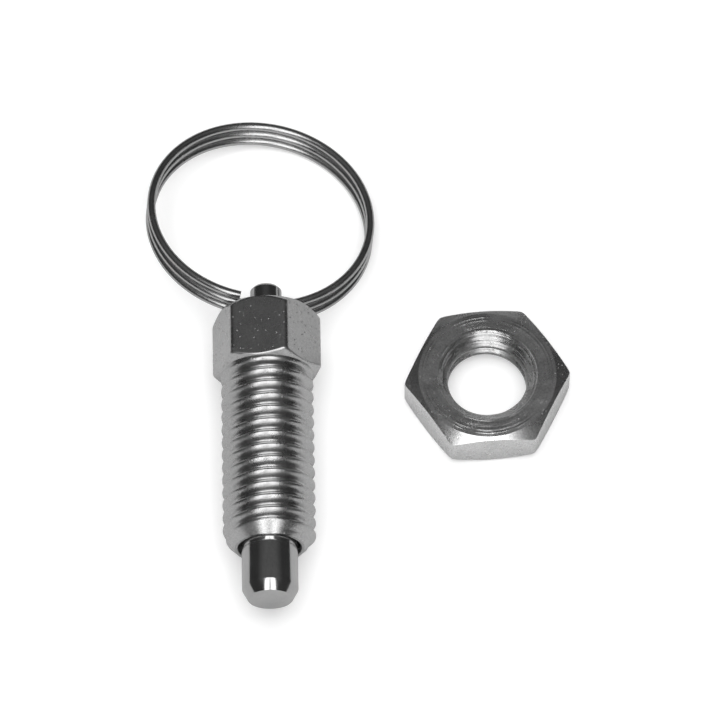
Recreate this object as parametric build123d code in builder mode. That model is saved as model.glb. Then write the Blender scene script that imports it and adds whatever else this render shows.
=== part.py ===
"""Indexing plunger with a pull ring, lying beside its unscrewed lock nut.

Frame: the plunger's axis is Y. The origin is on that axis where the thread
meets the underside of the hexagon. The index pin points along -Y, the pull
ring trails along +Y and +Z is up, so the table is a plane of constant z.
Every size is in millimetres.
"""

import os
from math import acos, cos, radians, sin, sqrt, tan

from build123d import *

os.makedirs("parts", exist_ok=True)

# ---- Driving dimensions ----------------------------------------------------

# Thread that fixes the plunger, shared with the lock nut
thread_dia = 10.0
thread_pitch = 1.5
thread_length = 20.65
thread_chamfer = 1.25

# Hexagon head of the housing
head_af = 10.4
head_length = 7.05
head_corner_dia = 11.8
head_rear_chamfer = 0.7
head_cone_angle = 30.0
head_roll = 9.6

# Index pin: nose, relief groove, guide and the shank that carries the ring
nose_dia = 6.0
nose_length = 6.0
nose_chamfer_width = 0.6
nose_chamfer_length = 1.15
guide_length = 9.0
groove_width = 0.6
groove_depth = 0.2
groove_reveal = 0.3
shank_dia = 3.4
stub_length = 3.5
stub_chamfer = 0.35
shoulder_chamfer = 0.3

# Housing bore
guide_clearance = 0.05
shank_clearance = 0.06
rear_wall = 2.5
mouth_relief = 0.4
mouth_depth = 0.5
rear_mouth_chamfer = 0.2

# Pull ring: a flat coil of round wire
ring_wire = 0.9
ring_mean_radius = 12.05
ring_turns = 2.9
ring_layer_gap = 0.03
ring_lean = 0.28
ring_start_angle = 256.0
ring_tilt = 9.3
ring_roll = 7.4
ring_yaw = 1.2
ring_seat_gap = 0.36
ring_hole_clearance = 0.1
ring_points_per_turn = 12

# Return spring: closed and ground ends
spring_wire = 0.65
spring_side_clearance = 0.22
spring_active_turns = 10
spring_closed_turns = 1
spring_end_gap = 0.05
spring_points_per_turn = 8

# Lock nut, lying flat beside the plunger
nut_af = 15.7
nut_thickness = 5.0
nut_corner_dia = 18.0
nut_flat_dia = 14.9
nut_chamfer_angle = 30.0
nut_relief_clearance = 0.8
nut_offset = (23.75, 0.05)
nut_turn = 3.5

# ---- Worked-out sizes --------------------------------------------------------

rear_face = head_length
front_face = -thread_length
pin_tip = front_face - nose_length
pin_shoulder = front_face + guide_length
bore_floor = rear_face - rear_wall
stub_end = rear_face + stub_length

nose_radius = nose_dia / 2
bore_radius = nose_radius + guide_clearance
groove_start = front_face - groove_reveal
shank_bore_radius = shank_dia / 2 + shank_clearance

# From one turn of the ring to the next: a layer down and a little forward
ring_layer = ring_wire + ring_layer_gap
ring_step = Vector(0, -ring_lean, -ring_layer)

# Two turns pass through the cross-hole, and the ring seats behind the head
step_towards_head = ring_lean * cos(radians(ring_tilt)) + ring_layer * sin(radians(ring_tilt))
hinge_y = rear_face + ring_seat_gap + step_towards_head / 2 + ring_wire / 2
wire_bow = ring_mean_radius - sqrt(ring_mean_radius**2 - (shank_dia / 2) ** 2)
cross_hole_radius = (ring_step.length + ring_wire + wire_bow) / 2 + ring_hole_clearance

# The nut's bore is the thread's inside diameter, and its relief clears the outside one
nut_bore_dia = thread_dia - thread_pitch
nut_relief_dia = thread_dia + nut_relief_clearance

# ---- Construction planes -------------------------------------------------------

# Square to the plunger's axis: x is to the left and y is up
square_to_axis = Plane(origin=(0, 0, 0), x_dir=(-1, 0, 0), z_dir=(0, 1, 0))

# The ring's own plane: x is along its wire in the hole, and y points to its centre
hinge_axis = Vector(1, 0, 0).rotate(Axis.Y, ring_roll)
ring_normal = Vector(0, 0, 1).rotate(Axis.X, -ring_tilt).rotate(Axis.Y, ring_roll)
hinge_plane = Plane(origin=(0, hinge_y, 0), x_dir=hinge_axis, z_dir=ring_normal)
ring_plane = hinge_plane.rotated((0, 0, ring_yaw))
cross_hole_plane = Plane(origin=(0, hinge_y, 0), x_dir=(0, 1, 0), z_dir=hinge_axis)

# The two passes through the hole lie half a step either side of the hinge axis
first_pass = (ring_start_angle + 90) / 360
mid_pass = first_pass + 0.5


def ring_centre(turn):
    """Centre of the ring's wire, this many turns after its first cut end."""
    angle = radians(ring_start_angle - 360 * turn)
    on_circle = Vector(cos(angle), 1 + sin(angle), 0) * ring_mean_radius
    return ring_plane.from_local_coords(on_circle + ring_step * (turn - mid_pass))


# The table touches the ring's lowest turn or the head's lowest corner edge
ring_low = min(ring_centre(i / 100).Z for i in range(int(ring_turns * 100))) - ring_wire / 2
corner_edge_angle = acos(head_af / head_corner_dia) - radians(head_roll)
head_low = -head_corner_dia / 2 * cos(corner_edge_angle)
table_z = min(ring_low, head_low)

# The nut's underside on the table, and a plane through its axis
nut_plane = Plane(origin=(nut_offset[0], nut_offset[1], table_z)).rotated((0, 0, nut_turn))
nut_section = Plane(origin=nut_plane.origin, x_dir=nut_plane.x_dir, z_dir=-nut_plane.y_dir)


# ---- Housing: hexagon head and threaded barrel, bored for the pin ----------------

with BuildPart() as housing:
    with BuildSketch(square_to_axis):
        RegularPolygon(head_af / 2, 6, major_radius=False, rotation=-head_roll)
    extrude(amount=head_length)

    # Turn the corners down, with a cone under the head and a rear chamfer
    with BuildSketch(Plane.XY):
        with BuildLine():
            cone_depth = (head_corner_dia - thread_dia) / 2 * tan(radians(head_cone_angle))
            Polyline(
                (0, 0),
                (thread_dia / 2, 0),
                (head_corner_dia / 2, cone_depth),
                (head_corner_dia / 2, head_length - head_rear_chamfer),
                (head_corner_dia / 2 - head_rear_chamfer, head_length),
                (0, head_length),
                close=True,
            )
        make_face()
    revolve(axis=Axis.Y, mode=Mode.INTERSECT)

    # Barrel, plain at the thread's outside diameter
    with BuildSketch(square_to_axis):
        Circle(thread_dia / 2)
    extrude(amount=-thread_length)
    front_rim = housing.edges().filter_by(GeomType.CIRCLE).sort_by(Axis.Y)[0]
    chamfer(front_rim, length=thread_chamfer)

    # Stepped bore: open at the nose, with only the shank's hole at the rear
    with BuildSketch(Plane.XY):
        with BuildLine():
            Polyline(
                (0, front_face),
                (bore_radius + mouth_relief, front_face),
                (bore_radius, front_face + mouth_depth),
                (bore_radius, bore_floor),
                (shank_bore_radius, bore_floor),
                (shank_bore_radius, rear_face - rear_mouth_chamfer),
                (shank_bore_radius + rear_mouth_chamfer, rear_face),
                (0, rear_face),
                close=True,
            )
        make_face()
    revolve(axis=Axis.Y, mode=Mode.SUBTRACT)

housing.part.label = "housing"
export_step(housing.part, "parts/housing.step")


# ---- Index pin: chamfered nose, guide, shoulder and drilled shank ----------------

with BuildPart() as index_pin:
    with BuildSketch(Plane.XY):
        with BuildLine():
            Polyline(
                (0, pin_tip),
                (nose_radius - nose_chamfer_width, pin_tip),
                (nose_radius, pin_tip + nose_chamfer_length),
                (nose_radius, groove_start),
                (nose_radius - groove_depth, groove_start),
                (nose_radius - groove_depth, groove_start + groove_width),
                (nose_radius, groove_start + groove_width),
                (nose_radius, pin_shoulder - shoulder_chamfer),
                (nose_radius - shoulder_chamfer, pin_shoulder),
                (shank_dia / 2, pin_shoulder),
                (shank_dia / 2, stub_end - stub_chamfer),
                (shank_dia / 2 - stub_chamfer, stub_end),
                (0, stub_end),
                close=True,
            )
        make_face()
    revolve(axis=Axis.Y)

    # Cross-hole for the pull ring
    with BuildSketch(cross_hole_plane):
        Circle(cross_hole_radius)
    extrude(amount=shank_dia, both=True, mode=Mode.SUBTRACT)

index_pin.part.label = "index_pin"
export_step(index_pin.part, "parts/index_pin.step")


# ---- Return spring: closed and ground ends -----------------------------------------

spring_radius = bore_radius - spring_side_clearance - spring_wire / 2
spring_front = pin_shoulder + spring_end_gap
spring_rear = bore_floor - spring_end_gap
spring_turns = spring_active_turns + 2 * spring_closed_turns
closed_pitch = spring_wire * 1.04
closed_height = closed_pitch * spring_closed_turns
active_pitch = (spring_rear - spring_front - 2 * closed_height) / spring_active_turns

spring_points = []
for i in range(spring_turns * spring_points_per_turn + 1):
    turn = i / spring_points_per_turn
    from_rear = spring_turns - turn
    if turn < spring_closed_turns:
        station = spring_front + turn * closed_pitch
    elif from_rear < spring_closed_turns:
        station = spring_rear - from_rear * closed_pitch
    else:
        station = spring_front + closed_height + (turn - spring_closed_turns) * active_pitch
    angle = radians(360 * turn)
    spring_points.append((spring_radius * cos(angle), station, spring_radius * sin(angle)))

with BuildPart() as return_spring:
    with BuildLine() as spring_path:
        Spline(*spring_points)
    with BuildSketch(Plane(origin=spring_path.line @ 0, z_dir=spring_path.line % 0)):
        Circle(spring_wire / 2)
    sweep(path=spring_path.line, is_frenet=True)

    # Grind both end turns flat
    with BuildSketch(square_to_axis.offset(spring_front)):
        Circle(bore_radius)
    extrude(amount=spring_rear - spring_front, mode=Mode.INTERSECT)

return_spring.part.label = "return_spring"
export_step(return_spring.part, "parts/return_spring.step")


# ---- Pull ring: nearly three turns of wire, threaded through the cross-hole ---------

ring_point_count = round(ring_turns * ring_points_per_turn)
ring_points = []
for i in range(ring_point_count + 1):
    ring_points.append(ring_centre(ring_turns * i / ring_point_count))

with BuildPart() as pull_ring:
    with BuildLine() as ring_path:
        Spline(*ring_points)
    with BuildSketch(Plane(origin=ring_path.line @ 0, z_dir=ring_path.line % 0)):
        Circle(ring_wire / 2)
    sweep(path=ring_path.line)

pull_ring.part.label = "pull_ring"
export_step(pull_ring.part, "parts/pull_ring.step")


# ---- Lock nut: thin hexagon with both faces chamfered ---------------------------------

with BuildPart() as lock_nut:
    with BuildSketch(nut_plane):
        RegularPolygon(nut_af / 2, 6, major_radius=False)
    extrude(amount=nut_thickness)

    # Turn the corners down, with a cone on both faces
    with BuildSketch(nut_section):
        with BuildLine():
            fall = (nut_corner_dia - nut_flat_dia) / 2 * tan(radians(nut_chamfer_angle))
            Polyline(
                (0, 0),
                (nut_flat_dia / 2, 0),
                (nut_corner_dia / 2, fall),
                (nut_corner_dia / 2, nut_thickness - fall),
                (nut_flat_dia / 2, nut_thickness),
                (0, nut_thickness),
                close=True,
            )
        make_face()
    revolve(axis=Axis(nut_plane.origin, nut_plane.z_dir), mode=Mode.INTERSECT)

    # Bore at the thread's inside diameter, countersunk from both faces
    with Locations(nut_plane.offset(nut_thickness / 2)):
        Hole(nut_bore_dia / 2)
    bore_rims = lock_nut.edges().filter_by(GeomType.CIRCLE).sort_by(SortBy.RADIUS)[:2]
    chamfer(bore_rims, length=(nut_relief_dia - nut_bore_dia) / 2)

lock_nut.part.label = "lock_nut"
export_step(lock_nut.part, "parts/lock_nut.step")
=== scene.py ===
"""Looks of an indexing plunger with a pull ring and its lock nut.

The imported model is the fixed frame: the plunger's axis is Y with the pin
towards -Y, and the table is a plane of constant z. Lengths are in metres.
"""

import logging
import math
from dataclasses import dataclass, field, replace
from enum import Enum
from typing import Callable, Iterable, Sequence

import bmesh
import bpy
from mathutils import Matrix, Vector


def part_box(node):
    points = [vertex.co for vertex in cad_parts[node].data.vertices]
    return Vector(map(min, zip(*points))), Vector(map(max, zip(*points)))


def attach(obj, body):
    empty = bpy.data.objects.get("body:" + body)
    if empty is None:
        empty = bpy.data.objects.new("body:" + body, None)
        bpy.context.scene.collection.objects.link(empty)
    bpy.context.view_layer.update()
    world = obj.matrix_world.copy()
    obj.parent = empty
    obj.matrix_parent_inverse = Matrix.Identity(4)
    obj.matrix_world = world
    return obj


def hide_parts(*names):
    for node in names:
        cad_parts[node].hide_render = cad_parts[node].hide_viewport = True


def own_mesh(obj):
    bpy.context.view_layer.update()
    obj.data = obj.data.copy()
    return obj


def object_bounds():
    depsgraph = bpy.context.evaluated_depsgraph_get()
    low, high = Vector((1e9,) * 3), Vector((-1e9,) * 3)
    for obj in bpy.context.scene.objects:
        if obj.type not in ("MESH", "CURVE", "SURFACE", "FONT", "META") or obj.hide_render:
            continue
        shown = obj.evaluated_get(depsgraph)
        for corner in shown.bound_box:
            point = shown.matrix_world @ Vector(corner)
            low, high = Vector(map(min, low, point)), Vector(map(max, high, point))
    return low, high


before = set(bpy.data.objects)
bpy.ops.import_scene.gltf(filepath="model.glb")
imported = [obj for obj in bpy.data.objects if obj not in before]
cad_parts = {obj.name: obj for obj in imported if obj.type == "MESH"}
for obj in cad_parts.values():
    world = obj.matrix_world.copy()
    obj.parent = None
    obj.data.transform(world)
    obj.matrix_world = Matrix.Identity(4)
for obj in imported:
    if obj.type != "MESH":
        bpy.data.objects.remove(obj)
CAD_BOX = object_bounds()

log = logging.getLogger("plunger")

MM = 0.001
Ring = list[Vector]
Radius = Callable[[float, float], float]


class Body(Enum):
    """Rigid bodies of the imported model."""

    HOUSING = "housing"
    SPRING = "spring"
    PIN = "pin"
    RING = "ring"


class Axis(Enum):
    """Directions of a part's axis, each as the plane that lies across it."""

    Y = (1, 0, 1)
    Z = (1, 1, 0)


# ---- Small geometry helpers ----

# Distances within which the points of turned and of threaded skins are one
TURNED_MERGE = 1e-7
THREADED_MERGE = 2e-7


def soft_min(a: float, b: float, blend: float) -> float:
    """Smaller of two values, rounded where they meet.

    Args:
        a: First value.
        b: Second value.
        blend: Difference within which the two are blended.

    Returns:
        The blended minimum.
    """
    h = max(blend - abs(a - b), 0.0) / blend
    return min(a, b) - h * h * blend * 0.25


def hexagon_radius(angle: float, across_flats: float, turn: float) -> float:
    """Distance from the centre of a hexagon to its side.

    Args:
        angle: Direction in radians.
        across_flats: Distance between opposite sides.
        turn: Direction in radians of the middle of one side.

    Returns:
        The radius in that direction.
    """
    step = math.pi / 3
    off = (angle - turn + step / 2) % step - step / 2
    return across_flats / 2 / math.cos(off)


def polar(radius: float, angle: float, station: float) -> Vector:
    """Point at a radius and an angle about the local z axis."""
    return Vector((radius * math.cos(angle), radius * math.sin(angle), station))


def circle(radius: float, station: float, columns: int) -> Ring:
    """Points of a circle about the local z axis at a height."""
    return [polar(radius, 2 * math.pi * i / columns, station) for i in range(columns)]


def open_ring(radius: Radius, station: float, columns: int) -> Ring:
    """Points round the local z axis at a height, of which the last repeats the first."""
    angles = (2 * math.pi * i / columns for i in range(columns + 1))
    return [polar(radius(a, station), a, station) for a in angles]


def sound(mesh: bmesh.types.BMesh, reach: float) -> bmesh.types.BMesh:
    """Merges doubles, drops faces without area and turns the normals outwards.

    Args:
        mesh: Mesh, changed in place.
        reach: Distance within which points are one.

    Returns:
        The same mesh.
    """
    bmesh.ops.remove_doubles(mesh, verts=mesh.verts, dist=reach)
    bmesh.ops.dissolve_degenerate(mesh, edges=mesh.edges, dist=reach)
    bmesh.ops.recalc_face_normals(mesh, faces=mesh.faces)
    return mesh


def lathe(profile: Iterable[tuple[float, float]], columns: int) -> bmesh.types.BMesh:
    """Turns an outline about the local z axis and caps both ends.

    Args:
        profile: Pairs of radius and height, from one end to the other.
        columns: Divisions round the axis.

    Returns:
        A closed mesh.
    """
    mesh = bmesh.new()
    rows = [[mesh.verts.new(p) for p in circle(r, z, columns)] for r, z in profile]
    for low, high in zip(rows, rows[1:]):
        for i in range(columns):
            j = (i + 1) % columns
            mesh.faces.new((low[i], low[j], high[j], high[i]))
    mesh.faces.new(reversed(rows[0]))
    mesh.faces.new(rows[-1])
    return sound(mesh, TURNED_MERGE)


def wrap(rows: Sequence[Ring]) -> bmesh.types.BMesh:
    """Joins open rows in a loop, as on a torus, and closes each row on itself.

    Args:
        rows: Rows of equal count; the last row is joined to the first.

    Returns:
        A closed mesh.
    """
    mesh = bmesh.new()
    grid = [[mesh.verts.new(p) for p in row] for row in rows]
    for low, high in zip(grid, grid[1:] + grid[:1]):
        for i in range(len(low) - 1):
            mesh.faces.new((low[i], low[i + 1], high[i + 1], high[i]))
    return sound(mesh, THREADED_MERGE)


def place(
    mesh: bmesh.types.BMesh, name: str, matrix: Matrix, sharp_deg: float
) -> bpy.types.Object:
    """Makes an object of a mesh, with its place in the mesh.

    Args:
        mesh: Mesh in local axes; it is freed.
        name: Object's name.
        matrix: From local axes to the frame.
        sharp_deg: Edges turning more than this stay sharp.

    Returns:
        The object, standing at the origin.
    """
    bmesh.ops.transform(mesh, matrix=matrix, verts=mesh.verts)
    data = bpy.data.meshes.new(name)
    mesh.to_mesh(data)
    mesh.free()
    return link(data, name, sharp_deg)


def link(data: bpy.types.Mesh, name: str, sharp_deg: float) -> bpy.types.Object:
    """Links a mesh as an object with smooth shading and sharp edges by angle."""
    data.shade_smooth()
    data.set_sharp_from_angle(angle=math.radians(sharp_deg))
    piece = bpy.data.objects.new(name, data)
    bpy.context.scene.collection.objects.link(piece)
    return piece


def dress(
    piece: bpy.types.Object, finish: bpy.types.Material, body: Body, node: str
) -> None:
    """Gives a piece its finish and hangs it on the frame.

    Args:
        piece: The finished piece.
        finish: Its material.
        body: Body that it moves with.
        node: CAD node that it stands for.
    """
    piece.data.materials.clear()
    piece.data.materials.append(finish)
    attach(piece, body.value)
    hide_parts(node)
    log.info("%s: %d faces on %s", piece.name, len(piece.data.polygons), body.value)


# From local axes, with z along the part, to the frame, with the part along Y
ALONG_Y = Matrix(((-1, 0, 0, 0), (0, 0, 1, 0), (0, 1, 0, 0), (0, 0, 0, 1)))


# ---- Node helpers ----


class Graph:
    """A short way to build shader and geometry nodes."""

    def __init__(self, tree: bpy.types.NodeTree) -> None:
        """Starts on an emptied node tree."""
        self.tree = tree
        tree.nodes.clear()

    def add(self, kind: str, inputs: dict | None = None, **settings) -> bpy.types.Node:
        """Adds a node.

        Args:
            kind: Blender's node class.
            inputs: Values or sockets by input name or index.
            **settings: Properties of the node.

        Returns:
            The new node.
        """
        node = self.tree.nodes.new(kind)
        for key, value in settings.items():
            setattr(node, key, value)
        for key, value in (inputs or {}).items():
            if isinstance(value, bpy.types.NodeSocket):
                self.tree.links.new(value, node.inputs[key])
            else:
                node.inputs[key].default_value = value
        return node

    def math(self, operation: str, *values: bpy.types.NodeSocket | float) -> bpy.types.NodeSocket:
        """Adds a math node.

        Args:
            operation: Blender's name of the operation.
            *values: Its numbers or sockets, in order.

        Returns:
            The result.
        """
        node = self.add("ShaderNodeMath", dict(enumerate(values)), operation=operation)
        return node.outputs[0]

    def ramp(
        self, value: bpy.types.NodeSocket, low: float, high: float, to_low: float, to_high: float
    ) -> bpy.types.NodeSocket:
        """Maps a value linearly from one range to another, clamped.

        Args:
            value: Socket of the value.
            low: Where its range starts.
            high: Where its range ends.
            to_low: Result at the start.
            to_high: Result at the end.

        Returns:
            The result.
        """
        names = ("Value", "From Min", "From Max", "To Min", "To Max")
        node = self.add("ShaderNodeMapRange", dict(zip(names, (value, low, high, to_low, to_high))))
        return node.outputs[0]


# ---- Finishes ----

# Scales of the noises, in cells for each metre
FINE_SCALE = 5200.0
BROAD_SCALE = 420.0
STREAK_SCALE = 2400.0
PIT_SCALE = 2600.0
MARK_SCALE = 3400.0
PATCH_SCALE = 240.0
STREAK_STRETCH = (3.0, 0.35, 3.0)

# Middle parts of the noises, which are spread over a value's whole range
BROAD_RANGE = (0.3, 0.7)
GRAIN_RANGE = (0.7, 1.3)
PATCH_RANGE = (0.42, 0.6)

# Shares by which the broad noise changes roughness and reflectance
ROUGHNESS_SPREAD = 0.12
TONE_SPREAD = 0.05

# Pits: radii of the full and the faded dot in cells, and which cells have one
PIT_RADII = (0.13, 0.29)
PIT_CELLS = (0.45, 0.75)
PIT_ROUGHNESS = 0.8
PIT_FADE = 2 * MM
PIT_FAINT = 0.25

# Turning marks: their least height, and what is left of them past their end
MARK_FAINT = 0.15
MARK_FADE = 0.4 * MM
MARK_LEFT = 0.04

# Fades at the edges of the painted shade in a bore
BORE_FADE = 0.08 * MM
BORE_END_FADE = 2 * MM
BUMP_DISTANCE = 0.02 * MM


@dataclass(frozen=True)
class Metal:
    """A steel surface whose grain, specks and tool marks are procedural, with optional painted
    shade inside its bore.

    Attributes:
        name: Material's name.
        grey: Reflectance.
        roughness: Middle roughness.
        grain: Depth of the fine grain.
        mottle: Share by which the grain changes the reflectance.
        specks: Depth of the scattered pits that catch the light.
        specks_from: Station along Y past which the pits are at full strength.
        marks: Depth of turning marks about the part's axis.
        marks_end: Radius at which the turning marks end.
        centre: Point on the part's axis.
        axis: Direction of the part's axis.
        drawn: Share of the streaks that run along Y.
        bore: Radius about the axis within which painted shade darkens the bore.
        bore_shade: Share of the reflectance that the painted shade leaves there.
        bore_end: Station along Y up to which the painted shade reaches.
    """

    name: str
    grey: float = 0.6
    roughness: float = 0.2
    grain: float = 0.1
    mottle: float = 0.05
    specks: float = 0.0
    specks_from: float = -1.0
    marks: float = 0.0
    marks_end: float = 1.0
    centre: tuple[float, float, float] = (0.0, 0.0, 0.0)
    axis: Axis = Axis.Y
    drawn: float = 1.0
    bore: float = 0.0
    bore_shade: float = 0.2
    bore_end: float = 1.0

    def material(self) -> bpy.types.Material:
        """Builds the material.

        Returns:
            A principled metal with bump and varied roughness.
        """
        made = bpy.data.materials.new(self.name)
        made.use_nodes = True
        g = Graph(made.node_tree)
        where = g.add("ShaderNodeTexCoord").outputs["Object"]
        fine = g.add("ShaderNodeTexNoise", {"Vector": where, "Scale": FINE_SCALE, "Detail": 3.0})
        broad = g.add("ShaderNodeTexNoise", {"Vector": where, "Scale": BROAD_SCALE, "Detail": 4.0})
        drawn = g.add("ShaderNodeVectorMath", {0: where, 1: STREAK_STRETCH}, operation="MULTIPLY")
        streaks = g.add(
            "ShaderNodeTexNoise",
            {"Vector": drawn.outputs[0], "Scale": STREAK_SCALE, "Detail": 3.0},
        )
        low, high = self.roughness * (1 - ROUGHNESS_SPREAD), self.roughness * (1 + ROUGHNESS_SPREAD)
        rough = g.ramp(broad.outputs[0], *BROAD_RANGE, low, high)
        along = g.math("MULTIPLY_ADD", streaks.outputs[0], self.drawn, (1 - self.drawn) / 2)
        both = g.math("ADD", fine.outputs[0], along)
        low, high = 1 - 2 * self.mottle, 1 + 2 * self.mottle
        tone = g.math("MULTIPLY", g.ramp(both, *GRAIN_RANGE, low, high), self.grey)
        patch = g.ramp(broad.outputs[0], *BROAD_RANGE, 1 - TONE_SPREAD, 1 + TONE_SPREAD)
        tone = g.math("MULTIPLY", tone, patch)
        # Painted shade: the reflectance is darkened inside the bore to stand in for its shade
        if self.bore:
            tone = g.math("MULTIPLY", tone, self.painted_bore_shade(g, where))
        height = g.math("MULTIPLY", both, self.grain)
        if self.specks:
            pits = self.pits(g, where)
            rough = g.math("MAXIMUM", rough, g.math("MULTIPLY", pits, PIT_ROUGHNESS))
            height = g.math("SUBTRACT", height, g.math("MULTIPLY", pits, self.specks))
        if self.marks:
            height = g.math("ADD", height, self.turning(g, where))
        bump = g.add(
            "ShaderNodeBump", {"Height": height, "Strength": 1.0, "Distance": BUMP_DISTANCE}
        )
        colour = g.add("ShaderNodeCombineColor", {0: tone, 1: tone, 2: tone})
        shader = g.add(
            "ShaderNodeBsdfPrincipled",
            {
                "Base Color": colour.outputs[0],
                "Metallic": 1.0,
                "Roughness": rough,
                "Normal": bump.outputs[0],
            },
        )
        g.add("ShaderNodeOutputMaterial", {"Surface": shader.outputs[0]})
        return made

    def pits(self, g: Graph, where: bpy.types.NodeSocket) -> bpy.types.NodeSocket:
        """Rare small pits in the plating.

        Args:
            g: Graph being built.
            where: Object coordinates.

        Returns:
            From 0 on the plain surface to 1 in the middle of the deepest pits.
        """
        dots = g.add("ShaderNodeTexVoronoi", {"Vector": where, "Scale": PIT_SCALE})
        dot = g.ramp(dots.outputs["Distance"], *PIT_RADII, 1.0, 0.0)
        cell = g.add("ShaderNodeSeparateColor", {0: dots.outputs["Color"]})
        rare = g.ramp(cell.outputs[0], *PIT_CELLS, 0.0, 1.0)
        station = g.add("ShaderNodeSeparateXYZ", {0: where}).outputs[1]
        local = g.ramp(station, self.specks_from - PIT_FADE, self.specks_from, PIT_FAINT, 1.0)
        return g.math("MULTIPLY", g.math("MULTIPLY", dot, rare), local)

    def radius(self, g: Graph, where: bpy.types.NodeSocket) -> bpy.types.NodeSocket:
        """Distance from the part's axis.

        Args:
            g: Graph being built.
            where: Object coordinates.

        Returns:
            The distance in metres.
        """
        local = g.add("ShaderNodeVectorMath", {0: where, 1: self.centre}, operation="SUBTRACT")
        across = g.add(
            "ShaderNodeVectorMath",
            {0: local.outputs[0], 1: self.axis.value},
            operation="MULTIPLY",
        )
        length = g.add("ShaderNodeVectorMath", {0: across.outputs[0]}, operation="LENGTH")
        return length.outputs["Value"]

    def painted_bore_shade(self, g: Graph, where: bpy.types.NodeSocket) -> bpy.types.NodeSocket:
        """Painted shade: share of the reflectance left inside the bore, darkened in its colour.

        Args:
            g: Graph being built.
            where: Object coordinates.

        Returns:
            A factor from the bore's shade to 1.
        """
        radius = self.radius(g, where)
        out = g.ramp(radius, self.bore - BORE_FADE, self.bore, self.bore_shade, 1.0)
        station = g.add("ShaderNodeSeparateXYZ", {0: where}).outputs[1]
        past = g.ramp(station, self.bore_end, self.bore_end + BORE_END_FADE, 0.0, 1.0)
        return g.math("MAXIMUM", out, past)

    def turning(self, g: Graph, where: bpy.types.NodeSocket) -> bpy.types.NodeSocket:
        """Height of the concentric marks that a lathe tool leaves.

        Args:
            g: Graph being built.
            where: Object coordinates.

        Returns:
            The marks' height.
        """
        radius = self.radius(g, where)
        line = g.add("ShaderNodeCombineXYZ", {0: radius})
        marks = g.add(
            "ShaderNodeTexNoise",
            {"Vector": line.outputs[0], "Scale": MARK_SCALE, "Detail": 4.0},
        )
        patchy = g.add("ShaderNodeTexNoise", {"Vector": where, "Scale": PATCH_SCALE})
        strength = g.ramp(patchy.outputs[0], *PATCH_RANGE, MARK_FAINT, self.marks)
        kept = g.ramp(radius, self.marks_end - MARK_FADE, self.marks_end, 1.0, MARK_LEFT)
        return g.math("MULTIPLY", g.math("MULTIPLY", marks.outputs[0], strength), kept)


ZINC_HEAD = Metal(
    "zinc_plated_steel",
    grey=0.62,
    roughness=0.28,
    grain=0.07,
    mottle=0.08,
    specks=1.6,
    specks_from=0.5 * MM,
    drawn=0.3,
    # Painted shade darkens the front of the bore within this radius, up to this station
    bore=3.45 * MM,
    bore_end=-16 * MM,
)
ZINC_NUT = Metal(
    "zinc_plated_nut",
    grey=0.88,
    roughness=0.28,
    grain=0.12,
    mottle=0.12,
    specks=0.5,
    marks=7.0,
    axis=Axis.Z,
    drawn=0.0,
    # Painted shade darkens the bore and its countersinks to this share of the reflectance
    bore=5.38 * MM,
    bore_shade=0.68,
)
PIN_STEEL = Metal("ground_pin_steel", grey=0.6, roughness=0.15, grain=0.03, mottle=0.03, marks=0.05)
WIRE_STEEL = Metal("drawn_wire", grey=0.6, roughness=0.25, grain=0.04, mottle=0.04)
SPRING_STEEL = Metal("spring_wire", grey=0.5, roughness=0.24, grain=0.1)


# ---- Threads ----


@dataclass(frozen=True)
class Thread:
    """An ISO metric thread, M10 x 1.5.

    Attributes:
        pitch: Advance for each turn.
        major: Outside radius.
        depth: From crest to root.
        crest: Rounding of the crest as a share of the pitch.
        root: Width over which the profile is eased, as a share of the pitch.
        rows: Rows of points for each pitch.
        start: Height of a crest's middle at the zero angle.
    """

    pitch: float = 1.5 * MM
    major: float = 5.0 * MM
    depth: float = 0.9 * MM
    crest: float = 0.1
    root: float = 0.12
    rows: int = 16
    start: float = -0.545 * MM

    def fullness(self, phase: float) -> float:
        """Height of the thread from 0 at the root to 1 at the crest.

        Args:
            phase: Place in the pitch, with the crest's middle at 0.

        Returns:
            The eased height.
        """
        shifts = (-2, -1, 0, 1, 2)
        deepest = math.hypot(0.5, self.crest) - self.crest
        total = 0.0
        for shift in shifts:
            u = abs((phase + shift * self.root / 4 + 0.5) % 1.0 - 0.5)
            total += (math.hypot(u, self.crest) - self.crest) / deepest
        return 1 - total / len(shifts)

    def phase(self, angle: float, station: float) -> float:
        """Place in the pitch of a point on a right-hand thread about +z."""
        return (station - self.start) / self.pitch - angle / (2 * math.pi)

    def rings(self, low: float, high: float, radius: Radius, columns: int) -> list[Ring]:
        """Rows of points that follow the helix, cut off at two heights.

        Args:
            low: Lowest height.
            high: Highest height.
            radius: Radius at an angle and a height.
            columns: Divisions round the axis; the last column repeats the first.

        Returns:
            Open rows of columns + 1 points, from low to high.
        """
        first = math.floor((low / self.pitch - 1.0) * self.rows)
        last = math.ceil((high / self.pitch + 1.0) * self.rows)
        made = []
        for row in range(first, last + 1):
            points = []
            for i in range(columns + 1):
                angle = 2 * math.pi * i / columns
                z = self.pitch * (row / self.rows + i / columns)
                z = min(max(z, low), high)
                points.append(polar(radius(angle, z), angle, z))
            made.append(points)
        return made


# ---- Housing ----


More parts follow.
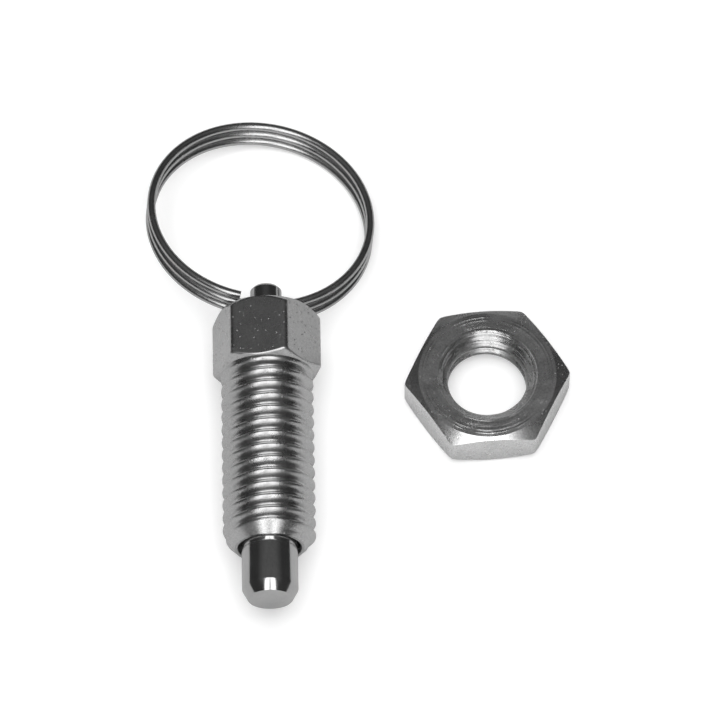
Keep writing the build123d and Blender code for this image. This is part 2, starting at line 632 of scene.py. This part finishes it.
@dataclass
class Housing:
    """Hexagon head and threaded barrel with a stepped bore.

    Attributes:
        thread: Thread of the barrel.
        barrel: Length of the barrel.
        head: Length of the head.
        across_flats: Size of the hexagon.
        corner: Radius of the turned corners.
        rim: Radius of the rear rim.
        taper: Axial fall of the front cone for each unit of radius.
        roll: Turn of the head about the axis, in radians.
        front_chamfer: Size of the barrel's end chamfer.
        run_out: Length over which the thread fades at the head.
        bore: Radius of the pin's bore.
        mouth: Radius of the bore's relief at the front.
        mouth_depth: Depth of that relief.
        floor: Station of the bore's floor.
        shank_hole: Radius of the rear hole.
        hole_edge: Chamfer of the rear hole.
        edge: Rounding of the outer edges.
        head_rows: Divisions along the head.
        columns: Divisions round the axis.
    """

    thread: Thread = field(default_factory=Thread)
    barrel: float = 20.65 * MM
    head: float = 7.05 * MM
    across_flats: float = 10.4 * MM
    corner: float = 5.9 * MM
    rim: float = 5.2 * MM
    taper: float = math.tan(math.radians(30))
    roll: float = math.radians(9.6)
    front_chamfer: float = 1.25 * MM
    run_out: float = 0.7 * MM
    bore: float = 3.05 * MM
    mouth: float = 3.45 * MM
    mouth_depth: float = 0.5 * MM
    floor: float = 4.55 * MM
    shank_hole: float = 1.76 * MM
    hole_edge: float = 0.2 * MM
    edge: float = 0.14 * MM
    head_rows: int = 64
    columns: int = 216

    def barrel_radius(self, angle: float, station: float) -> float:
        """Radius of the threaded barrel, whose thread fades towards the head."""
        t = self.thread
        fade = min(max(-station / self.run_out, 0.0), 1.0)
        groove = t.depth * (1 - t.fullness(t.phase(angle, station))) * fade
        chamfer = t.major - self.front_chamfer + (station + self.barrel)
        return soft_min(t.major - groove, chamfer, self.edge)

    def head_radius(self, angle: float, station: float) -> float:
        """Radius of the hexagon head with its turned corners."""
        flats = hexagon_radius(angle, self.across_flats, math.pi / 2 - self.roll)
        front = self.thread.major + station / self.taper
        rear = self.rim + (self.head - station)
        turned = soft_min(flats, self.corner, self.edge / 2)
        return soft_min(turned, soft_min(front, rear, self.edge), self.edge)

    def rows(self) -> list[Ring]:
        """Rows of points over the whole skin, outside first, then the bore.

        Returns:
            Open rows that make one closed loop.
        """
        n = self.columns
        made = self.thread.rings(-self.barrel, 0.0, self.barrel_radius, n)
        for i in range(1, self.head_rows + 1):
            # Rows crowd towards both ends of the head, where the edges are
            share = 0.5 - 0.5 * math.cos(math.pi * i / self.head_rows)
            made.append(open_ring(self.head_radius, self.head * share, n))
        inside = [
            (self.shank_hole + self.hole_edge, self.head),
            (self.shank_hole, self.head - self.hole_edge),
            (self.shank_hole, self.floor),
            (self.bore, self.floor),
            (self.bore, -self.barrel + self.mouth_depth),
            (self.mouth, -self.barrel),
        ]
        made += [open_ring(lambda a, z, r=r: r, z, n) for r, z in inside]
        return made

    def build(self) -> None:
        """Builds the housing and dresses it."""
        mesh = wrap(self.rows())
        piece = place(mesh, "housing_threaded", ALONG_Y, sharp_deg=38)
        dress(piece, ZINC_HEAD.material(), Body.HOUSING, "housing")


# ---- Lock nut ----


@dataclass
class LockNut:
    """Thin hexagon nut lying on the table.

    Attributes:
        thread: Thread of its bore.
        across_flats: Size of the hexagon.
        thickness: Height of the nut.
        corner: Radius of the turned corners.
        flat: Radius of the flat on each face.
        fall: Axial fall of the face chamfers for each unit of radius.
        bore: Radius at the thread's crests.
        relief: Radius of the countersinks.
        centre: Place of the axis.
        turn: Turn about the vertical, in radians.
        round: Rounding of the hexagon's corners.
        edge: Rounding of the edges.
        shares: Rows of each face, from 0 at the flat to 1 at the side.
        columns: Divisions round the axis.
    """

    thread: Thread = field(
        default_factory=lambda: Thread(depth=0.72 * MM, crest=0.12, root=0.1, start=-0.3 * MM)
    )
    across_flats: float = 15.7 * MM
    thickness: float = 5.0 * MM
    corner: float = 9.0 * MM
    flat: float = 7.45 * MM
    fall: float = math.tan(math.radians(30))
    bore: float = 4.25 * MM
    relief: float = 5.4 * MM
    centre: tuple[float, float] = (23.75 * MM, 0.05 * MM)
    turn: float = math.radians(3.5)
    round: float = 0.3 * MM
    edge: float = 0.12 * MM
    shares: tuple[float, ...] = (0.0, 0.2, 0.4, 0.6, 0.8, 0.92, 0.985, 1.0)
    columns: int = 240

    def side(self, angle: float) -> float:
        """Radius of the hexagon's side."""
        sides = hexagon_radius(angle, self.across_flats, math.pi / 6)
        return soft_min(sides, self.corner, self.round)

    def face_row(self, share: float, top: bool) -> Ring:
        """One ring of points on a face chamfer.

        Args:
            share: From 0 at the flat to 1 at the hexagon's side.
            top: Whether the ring is on the upper face.

        Returns:
            An open row.
        """
        points = []
        for i in range(self.columns + 1):
            angle = 2 * math.pi * i / self.columns
            r = self.flat + (self.side(angle) - self.flat) * share
            low = (r - self.flat) * self.fall
            # The last two rows ease the edge between face and side
            if share == self.shares[-1]:
                low += self.edge * 0.8
            elif share == self.shares[-2]:
                r -= self.edge * 0.1
            points.append(polar(r, angle, self.thickness - low if top else low))
        return points

    def bore_radius(self, angle: float, station: float) -> float:
        """Radius of the threaded bore with its countersinks."""
        t = self.thread
        groove = t.depth * (1 - t.fullness(t.phase(angle, station)))
        depth = min(station, self.thickness - station)
        return max(self.bore + groove, self.relief - depth)

    def build(self) -> None:
        """Builds the nut and dresses it."""
        rows = self.thread.rings(0.0, self.thickness, self.bore_radius, self.columns)
        rows += [self.face_row(s, True) for s in self.shares]
        rows += [self.face_row(s, False) for s in reversed(self.shares)]
        mesh = wrap(rows)
        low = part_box("lock_nut")[0]
        base = Vector((self.centre[0], self.centre[1], low[2]))
        matrix = Matrix.Translation(base) @ Matrix.Rotation(self.turn, 4, "Z")
        piece = place(mesh, "lock_nut_threaded", matrix, sharp_deg=30)
        finish = replace(ZINC_NUT, marks_end=self.flat, centre=(base.x, base.y, 0.0))
        dress(piece, finish.material(), Body.HOUSING, "lock_nut")


# ---- Index pin ----


@dataclass
class IndexPin:
    """Chamfered nose, guide, shoulder and drilled shank.

    Attributes:
        nose: Radius of the nose and the guide.
        tip: Station of the flat end.
        chamfer: Width and length of the end chamfer.
        groove: Station, width and depth of the relief groove.
        shoulder: Station of the shoulder.
        shank: Radius of the shank.
        end: Station of the stub's end.
        stub_chamfer: Chamfer of the stub's end.
        hole: Radius of the cross-hole.
        hinge: Station of the cross-hole.
        ring_roll: Turn of the cross-hole about the axis, in radians.
        edge: Rounding of the edges.
        sharp_deg: Edges turning more than this stay sharp.
        columns: Divisions round the axis.
        hole_columns: Divisions round the cross-hole.
    """

    nose: float = 3.0 * MM
    tip: float = -26.65 * MM
    chamfer: tuple[float, float] = (0.6 * MM, 1.15 * MM)
    groove: tuple[float, float, float] = (-20.95 * MM, 0.6 * MM, 0.2 * MM)
    shoulder: float = -11.65 * MM
    shank: float = 1.7 * MM
    end: float = 10.55 * MM
    stub_chamfer: float = 0.35 * MM
    hole: float = 1.096 * MM
    hinge: float = 8.073 * MM
    ring_roll: float = math.radians(7.4)
    edge: float = 0.06 * MM
    sharp_deg: float = 32
    columns: int = 160
    hole_columns: int = 64

    def profile(self) -> list[tuple[float, float]]:
        """Outline from the tip to the stub's end, with eased corners.

        Returns:
            Pairs of radius and station.
        """
        e = self.edge
        start, width, deep = self.groove
        slope = self.chamfer[1] / self.chamfer[0]
        flat = self.nose - self.chamfer[0]
        return [
            (0.0, self.tip),
            (flat - e, self.tip),
            (flat - e * 0.3, self.tip + e * 0.12),
            (flat + e * 0.4, self.tip + e * (0.4 * slope + 0.1)),
            (self.nose - e * 0.5, self.tip + self.chamfer[1] - e * 0.5 * slope),
            (self.nose - e * 0.1, self.tip + self.chamfer[1] + e * 0.2),
            (self.nose, self.tip + self.chamfer[1] + e),
            (self.nose, start),
            (self.nose - deep, start + e * 0.5),
            (self.nose - deep * 0.1, start + width * 0.75),
            (self.nose, start + width),
            (self.nose, self.shoulder - 5 * e),
            (self.nose - 5 * e, self.shoulder),
            (self.shank, self.shoulder),
            (self.shank, self.end - self.stub_chamfer - e),
            (self.shank - e * 0.3, self.end - self.stub_chamfer),
            (self.shank - self.stub_chamfer, self.end - e * 0.3),
            (self.shank - self.stub_chamfer - e, self.end),
            (0.0, self.end),
        ]

    def cross_hole(self, piece: bpy.types.Object) -> None:
        """Drills the cross-hole along the ring's hinge axis.

        Args:
            piece: The pin, changed in place.
        """
        reach = self.shank * 3
        drill = lathe([(self.hole, -reach), (self.hole, reach)], self.hole_columns)
        turned = Matrix.Rotation(self.ring_roll, 4, "Y") @ Matrix.Rotation(math.pi / 2, 4, "Y")
        matrix = Matrix.Translation((0, self.hinge, 0)) @ turned
        tool = place(drill, "drill", matrix, sharp_deg=30)
        cut = piece.modifiers.new("cross_hole", "BOOLEAN")
        cut.operation = "DIFFERENCE"
        cut.solver = "EXACT"
        cut.object = tool
        evaluated = piece.evaluated_get(bpy.context.evaluated_depsgraph_get())
        data = bpy.data.meshes.new_from_object(evaluated)
        piece.modifiers.clear()
        piece.data = data
        bpy.data.objects.remove(tool)

    def build(self) -> None:
        """Builds the pin and dresses it."""
        turned = lathe(self.profile(), self.columns)
        piece = place(turned, "index_pin_turned", ALONG_Y, self.sharp_deg)
        self.cross_hole(piece)
        piece.data.set_sharp_from_angle(angle=math.radians(self.sharp_deg))
        dress(piece, PIN_STEEL.material(), Body.PIN, "index_pin")


# ---- Wound wire: pull ring and return spring ----


@dataclass
class CoilTree:
    """Geometry Nodes tree that winds a round wire into a coil.

    A turn counter t runs from 0 to the turns. A point stands at the mean
    radius, at the start angle less or plus t turns, moved by the step times
    the climb. The climb is the closed pitch for each closed turn and the
    active pitch for each of the others.

    Attributes:
        name: Name of the tree and of its modifier.
        wire_sides: Divisions round the wire.
        tree: The tree, made on creation.
    """

    name: str = "wound_wire"
    wire_sides: int = 24
    tree: bpy.types.NodeTree = field(init=False)

    INPUTS = (
        ("Turns", "NodeSocketFloat"),
        ("Points", "NodeSocketInt"),
        ("Start Angle", "NodeSocketFloat"),
        ("Winding", "NodeSocketFloat"),
        ("Mean Radius", "NodeSocketFloat"),
        ("Wire Radius", "NodeSocketFloat"),
        ("Closed Turns", "NodeSocketFloat"),
        ("Closed Pitch", "NodeSocketFloat"),
        ("Active Pitch", "NodeSocketFloat"),
        ("Step", "NodeSocketVector"),
        ("Offset", "NodeSocketVector"),
        ("Finish", "NodeSocketMaterial"),
    )

    def __post_init__(self) -> None:
        """Builds the tree."""
        self.tree = bpy.data.node_groups.new(self.name, "GeometryNodeTree")
        face = self.tree.interface
        for label, kind in self.INPUTS:
            face.new_socket(label, in_out="INPUT", socket_type=kind)
        face.new_socket("Geometry", in_out="OUTPUT", socket_type="NodeSocketGeometry")
        g = Graph(self.tree)
        given = g.add("NodeGroupInput").outputs
        line = g.add("GeometryNodeMeshLine", {"Count": given["Points"]})
        moved = g.add(
            "GeometryNodeSetPosition",
            {"Geometry": line.outputs[0], "Position": self.path(g, given)},
        )
        curve = g.add("GeometryNodeMeshToCurve", {"Mesh": moved.outputs[0]})
        section = g.add(
            "GeometryNodeCurvePrimitiveCircle",
            {"Resolution": self.wire_sides, "Radius": given["Wire Radius"]},
        )
        tube = g.add(
            "GeometryNodeCurveToMesh",
            {"Curve": curve.outputs[0], "Profile Curve": section.outputs[0], "Fill Caps": True},
        )
        real = g.add("GeometryNodeRealizeInstances", {"Geometry": tube.outputs[0]})
        dressed = g.add(
            "GeometryNodeSetMaterial", {"Geometry": real.outputs[0], "Material": given["Finish"]}
        )
        g.add("NodeGroupOutput", {"Geometry": dressed.outputs[0]})

    def path(self, g: Graph, given: bpy.types.NodeOutputs) -> bpy.types.NodeSocket:
        """Position of each point of the wire's centre line.

        Args:
            g: Graph being built.
            given: The tree's inputs.

        Returns:
            A vector socket.
        """
        index = g.add("GeometryNodeInputIndex").outputs[0]
        last = g.math("SUBTRACT", given["Points"], 1.0)
        turn = g.math("MULTIPLY", given["Turns"], g.math("DIVIDE", index, last))
        swept = g.math("MULTIPLY", g.math("MULTIPLY", turn, given["Winding"]), 2 * math.pi)
        angle = g.math("ADD", given["Start Angle"], swept)
        x = g.math("MULTIPLY", given["Mean Radius"], g.math("COSINE", angle))
        y = g.math("MULTIPLY", given["Mean Radius"], g.math("SINE", angle))
        round_axis = g.add("ShaderNodeCombineXYZ", {0: x, 1: y, 2: 0.0}).outputs[0]
        rest = g.math("SUBTRACT", given["Turns"], given["Closed Turns"])
        first = g.math("MINIMUM", turn, given["Closed Turns"])
        final = g.math("MAXIMUM", g.math("SUBTRACT", turn, rest), 0.0)
        closed = g.math("ADD", first, final)
        active = g.math("SUBTRACT", turn, closed)
        climb = g.math(
            "ADD",
            g.math("MULTIPLY", closed, given["Closed Pitch"]),
            g.math("MULTIPLY", active, given["Active Pitch"]),
        )
        shift = g.add("ShaderNodeVectorMath", {0: given["Step"], "Scale": climb}, operation="SCALE")
        start = g.add("ShaderNodeVectorMath", {0: round_axis, 1: given["Offset"]}, operation="ADD")
        total = g.add(
            "ShaderNodeVectorMath", {0: start.outputs[0], 1: shift.outputs[0]}, operation="ADD"
        )
        return total.outputs[0]

    def wind(self, name: str, values: dict[str, object]) -> bpy.types.Mesh:
        """Winds one coil.

        Args:
            name: Mesh's name.
            values: The tree's inputs by name.

        Returns:
            A plain mesh in the coil's own axes.
        """
        holder = bpy.data.objects.new(name, bpy.data.meshes.new(name))
        bpy.context.scene.collection.objects.link(holder)
        modifier = holder.modifiers.new(self.name, "NODES")
        modifier.node_group = self.tree
        for item in self.tree.interface.items_tree:
            if item.in_out == "INPUT":
                modifier[item.identifier] = values[item.name]
        evaluated = holder.evaluated_get(bpy.context.evaluated_depsgraph_get())
        data = bpy.data.meshes.new_from_object(evaluated)
        bpy.data.objects.remove(holder)
        data.name = name
        return data


@dataclass
class PullRing:
    """Nearly three turns of wire through the pin's cross-hole.

    Attributes:
        wire: Wire's radius.
        mean: Mean radius of a turn.
        turns: Number of turns.
        start: Angle of the first cut end, in radians.
        layer: Fall from one turn to the next.
        lean: Forward shift from one turn to the next.
        tilt: Slope of the ring away from the head, in radians.
        yaw: Turn about the ring's own normal, in radians.
        roll: Turn about the plunger's axis, in radians.
        hinge: Station of the hinge axis.
        points: Points for each turn.
    """

    wire: float = 0.45 * MM
    mean: float = 12.04 * MM
    turns: float = 2.9
    start: float = math.radians(256)
    layer: float = 0.93 * MM
    lean: float = 0.28 * MM
    tilt: float = math.radians(9.3)
    yaw: float = math.radians(1.2)
    roll: float = math.radians(7.4)
    hinge: float = IndexPin.hinge
    points: int = 110

    def build(self, coil: CoilTree) -> None:
        """Winds the ring and dresses it.

        Args:
            coil: The tree that winds wire.
        """
        finish = WIRE_STEEL.material()
        step = Vector((0, -self.lean, -self.layer))
        # Turn counter halfway between the two passes through the hole
        mid_pass = (self.start / (2 * math.pi) + 0.25) + 0.5
        data = coil.wind(
            "pull_ring_wire",
            {
                "Turns": self.turns,
                "Points": round(self.turns * self.points),
                "Start Angle": self.start,
                "Winding": -1.0,
                "Mean Radius": self.mean,
                "Wire Radius": self.wire,
                "Closed Turns": 0.0,
                "Closed Pitch": 0.0,
                "Active Pitch": 1.0,
                "Step": step,
                "Offset": Vector((0, self.mean, 0)) - step * mid_pass,
                "Finish": finish,
            },
        )
        place_at = (
            Matrix.Translation((0, self.hinge, 0))
            @ Matrix.Rotation(self.roll, 4, "Y")
            @ Matrix.Rotation(-self.tilt, 4, "X")
            @ Matrix.Rotation(self.yaw, 4, "Z")
        )
        data.transform(place_at)
        piece = link(data, "pull_ring_wire", sharp_deg=40)
        dress(piece, finish, Body.RING, "pull_ring")


@dataclass
class ReturnSpring:
    """Compression spring with closed and ground ends.

    Attributes:
        wire: Wire's radius.
        mean: Mean radius of a turn.
        active: Active turns.
        closed: Closed turns at each end.
        closed_pitch: Pitch of the closed turns.
        front: Station of the front end.
        rear: Station of the rear end.
        stroke: Travel of the pin. Not used.
        points: Points for each turn.
    """

    wire: float = 0.325 * MM
    mean: float = 2.505 * MM
    active: int = 10
    closed: int = 1
    closed_pitch: float = 0.676 * MM
    front: float = -11.6 * MM
    rear: float = 4.5 * MM
    stroke: float = 6.0 * MM
    points: int = 40

    def build(self, coil: CoilTree) -> None:
        """Winds the spring, grinds its ends and dresses it.

        Args:
            coil: The tree that winds wire.
        """
        finish = SPRING_STEEL.material()
        turns = self.active + 2 * self.closed
        length = self.rear - self.front
        data = coil.wind(
            "return_spring_wire",
            {
                "Turns": float(turns),
                "Points": turns * self.points,
                "Start Angle": 0.0,
                "Winding": 1.0,
                "Mean Radius": self.mean,
                "Wire Radius": self.wire,
                "Closed Turns": float(self.closed),
                "Closed Pitch": self.closed_pitch,
                "Active Pitch": (length - 2 * self.closed * self.closed_pitch) / self.active,
                "Step": Vector((0, 0, 1)),
                "Offset": Vector((0, 0, self.front)),
                "Finish": finish,
            },
        )
        mesh = bmesh.new()
        mesh.from_mesh(data)
        for station, normal in ((self.front, -1), (self.rear, 1)):
            cut = bmesh.ops.bisect_plane(
                mesh,
                geom=mesh.verts[:] + mesh.edges[:] + mesh.faces[:],
                plane_co=(0, 0, station),
                plane_no=(0, 0, normal),
                clear_outer=True,
            )
            edges = [e for e in cut["geom_cut"] if isinstance(e, bmesh.types.BMEdge)]
            bmesh.ops.holes_fill(mesh, edges=edges)
        bmesh.ops.recalc_face_normals(mesh, faces=mesh.faces)
        piece = place(mesh, "return_spring_wire", ALONG_Y, sharp_deg=40)
        bpy.data.meshes.remove(data)
        dress(piece, finish, Body.SPRING, "return_spring")
        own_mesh(piece)


# ---- Studio ----


@dataclass(frozen=True)
class Panel:
    """Bright strip that curves over the part on the camera's side.

    Attributes:
        radius: Distance from the part.
        low: Height of its lower end above the horizon, in degrees.
        span: Degrees from its lower to its upper end.
        half: Half width at the horizon, for a radius of 1.
        swell: What is added to it halfway up.
        seam: Half width of the dark seam at the horizon, for a radius of 1.
        steps: Faces along each side of the seam.
        strength: Brightness.
    """

    radius: float = 0.7
    low: float = 6.0
    span: float = 80.0
    half: float = 0.25
    swell: float = 0.16
    seam: float = 0.06
    steps: int = 48
    strength: float = 2.0

    def mesh(self) -> bmesh.types.BMesh:
        """Makes the strip's two sides.

        Returns:
            A new open mesh.
        """
        mesh = bmesh.new()
        for side in (-1, 1):
            rows = []
            for i in range(self.steps + 1):
                height = math.radians(self.low + self.span * i / self.steps)
                half = self.half + self.swell * math.sin(2 * height) ** 2
                seam = self.seam * math.cos(height)
                row = []
                for reach in sorted((side * seam, side * half)):
                    p = Vector((reach, -math.cos(height), math.sin(height)))
                    row.append(mesh.verts.new(p.normalized() * self.radius))
                rows.append(row)
            for low, high in zip(rows, rows[1:]):
                mesh.faces.new((low[0], high[0], high[1], low[1]))
        return mesh


@dataclass(frozen=True)
class Card:
    """Bright card lying before the part, which lights the thread's near flanks.

    Attributes:
        size: Width and length.
        station: Place of its middle along Y.
        lift: Height above the table.
        strength: Brightness.
    """

    size: tuple[float, float] = (0.05, 0.3)
    station: float = -0.2
    lift: float = 0.1 * MM
    strength: float = 1.6

    def mesh(self) -> bmesh.types.BMesh:
        """Makes the card.

        Returns:
            A new mesh of one face.
        """
        mesh = bmesh.new()
        bmesh.ops.create_grid(mesh, x_segments=1, y_segments=1, size=0.5)
        bmesh.ops.scale(mesh, vec=(*self.size, 1.0), verts=mesh.verts)
        level = CAD_BOX[0][2] + self.lift
        bmesh.ops.translate(mesh, vec=(0.0, self.station, level), verts=mesh.verts)
        return mesh


@dataclass(frozen=True)
class Lamp:
    """Round soft lamp over the part.

    Attributes:
        size: Diameter.
        energy: Power in watts.
        height: Height above the plunger's axis.
    """

    size: float = 1.2
    energy: float = 9.0
    height: float = 0.9


@dataclass
class Studio:
    """Pale table, soft lights and the camera.

    Attributes:
        elevation: Camera's height above the horizon, in radians.
        azimuth: Camera's turn about the vertical, in radians.
        target: Point at the middle of the picture.
        distance: From that point to the camera.
        scale: Picture's pixels for each metre at the target.
        pixels: Width of the picture.
        sensor: Width of the sensor in millimetres.
        clip: Nearest and farthest distances that the camera sees.
        reach: Half width of the table.
        paint: Table's reflectance to light and to the camera.
        glow: Table's own brightness to the camera.
        room: Brightness of the room low down and overhead.
        room_heights: Sines of the heights between which it changes.
        panel: Bright strip over the part.
        card: Bright card before the part.
        lamp: Soft lamp overhead.
    """

    elevation: float = math.radians(62.9)
    azimuth: float = math.radians(-1.1)
    target: tuple[float, float, float] = (10.04 * MM, 1.68 * MM, 0.0)
    distance: float = 0.8
    scale: float = 9277.0
    pixels: int = 720
    sensor: float = 36.0
    clip: tuple[float, float] = (0.01, 10.0)
    reach: float = 1.5
    paint: tuple[float, float] = (0.5, 0.8)
    glow: float = 0.3
    room: tuple[float, float] = (0.04, 0.11)
    room_heights: tuple[float, float] = (0.6, 0.86)
    panel: Panel = Panel()
    card: Card = Card()
    lamp: Lamp = Lamp()

    def towards_camera(self) -> Vector:
        """Unit vector from the target to the camera."""
        flat = math.cos(self.elevation)
        return Vector(
            (
                math.sin(self.azimuth) * flat,
                -math.cos(self.azimuth) * flat,
                math.sin(self.elevation),
            )
        )

    def camera(self) -> None:
        """Sets up the camera."""
        data = bpy.data.cameras.new("camera")
        data.sensor_width = self.sensor
        data.lens = data.sensor_width * self.scale * self.distance / self.pixels
        data.clip_start, data.clip_end = self.clip
        camera = bpy.data.objects.new("camera", data)
        bpy.context.scene.collection.objects.link(camera)
        away = self.towards_camera()
        camera.location = Vector(self.target) + away * self.distance
        camera.rotation_euler = away.to_track_quat("Z", "Y").to_euler()
        bpy.context.scene.camera = camera

    def table(self) -> None:
        """Lays the pale table under the part."""
        mesh = bmesh.new()
        bmesh.ops.create_grid(mesh, x_segments=1, y_segments=1, size=self.reach)
        floor = place(mesh, "table", Matrix.Translation((0, 0, CAD_BOX[0][2])), sharp_deg=30)
        made = bpy.data.materials.new("pale_table")
        made.use_nodes = True
        g = Graph(made.node_tree)
        seen = g.add("ShaderNodeLightPath").outputs["Is Camera Ray"]
        grey = g.ramp(seen, 0.0, 1.0, *self.paint)
        colour = g.add("ShaderNodeCombineColor", {0: grey, 1: grey, 2: grey})
        paint = g.add("ShaderNodeBsdfDiffuse", {"Color": colour.outputs[0]})
        glow = g.add("ShaderNodeEmission", {"Strength": g.math("MULTIPLY", seen, self.glow)})
        both = g.add("ShaderNodeAddShader", {0: paint.outputs[0], 1: glow.outputs[0]})
        g.add("ShaderNodeOutputMaterial", {"Surface": both.outputs[0]})
        floor.data.materials.append(made)

    def world(self) -> None:
        """Dark room, lighter overhead, in reflections, and white behind the part."""
        world = bpy.data.worlds.new("studio")
        world.use_nodes = True
        bpy.context.scene.world = world
        g = Graph(world.node_tree)
        path = g.add("ShaderNodeLightPath")
        aim = g.add("ShaderNodeTexCoord").outputs["Generated"]
        height = g.add("ShaderNodeSeparateXYZ", {0: aim}).outputs[2]
        glow = g.ramp(height, *self.room_heights, *self.room)
        room = g.add("ShaderNodeBackground", {"Color": (1, 1, 1, 1), "Strength": glow})
        white = g.add("ShaderNodeBackground", {"Color": (1, 1, 1, 1), "Strength": 1.0})
        mixed = g.add(
            "ShaderNodeMixShader",
            {0: path.outputs["Is Camera Ray"], 1: room.outputs[0], 2: white.outputs[0]},
        )
        g.add("ShaderNodeOutputWorld", {"Surface": mixed.outputs[0]})

    def glowing(self, mesh: bmesh.types.BMesh, name: str, strength: float) -> None:
        """Makes a light of a mesh that neither the camera nor shadows see.

        Args:
            mesh: Mesh in the frame; it is freed.
            name: Name of the light and of its material.
            strength: Brightness.
        """
        made = bpy.data.materials.new(name)
        made.use_nodes = True
        g = Graph(made.node_tree)
        glow = g.add("ShaderNodeEmission", {"Strength": strength})
        g.add("ShaderNodeOutputMaterial", {"Surface": glow.outputs[0]})
        light = place(mesh, name, Matrix.Identity(4), sharp_deg=180)
        light.data.materials.append(made)
        light.visible_camera = False
        light.visible_shadow = False

    def overhead(self) -> None:
        """Lights the table softly from above, unseen in the metal."""
        data = bpy.data.lights.new("overhead", "AREA")
        data.shape = "DISK"
        data.size = self.lamp.size
        data.energy = self.lamp.energy
        lamp = bpy.data.objects.new("overhead", data)
        lamp.location = (0, 0, self.lamp.height)
        lamp.visible_glossy = False
        lamp.visible_camera = False
        bpy.context.scene.collection.objects.link(lamp)

    def build(self) -> None:
        """Sets up the whole studio."""
        bpy.context.scene.view_settings.view_transform = "Standard"
        self.camera()
        self.table()
        self.world()
        self.glowing(self.panel.mesh(), "front_panel", self.panel.strength)
        self.glowing(self.card.mesh(), "low_card", self.card.strength)
        self.overhead()


def main() -> None:
    """Builds every piece in order, then the studio."""
    logging.basicConfig(level=logging.INFO, format="%(name)s: %(message)s")
    Housing().build()
    LockNut().build()
    IndexPin().build()
    coil = CoilTree()
    PullRing().build(coil)
    ReturnSpring().build(coil)
    Studio().build()


if __name__ == "__main__":
    main()
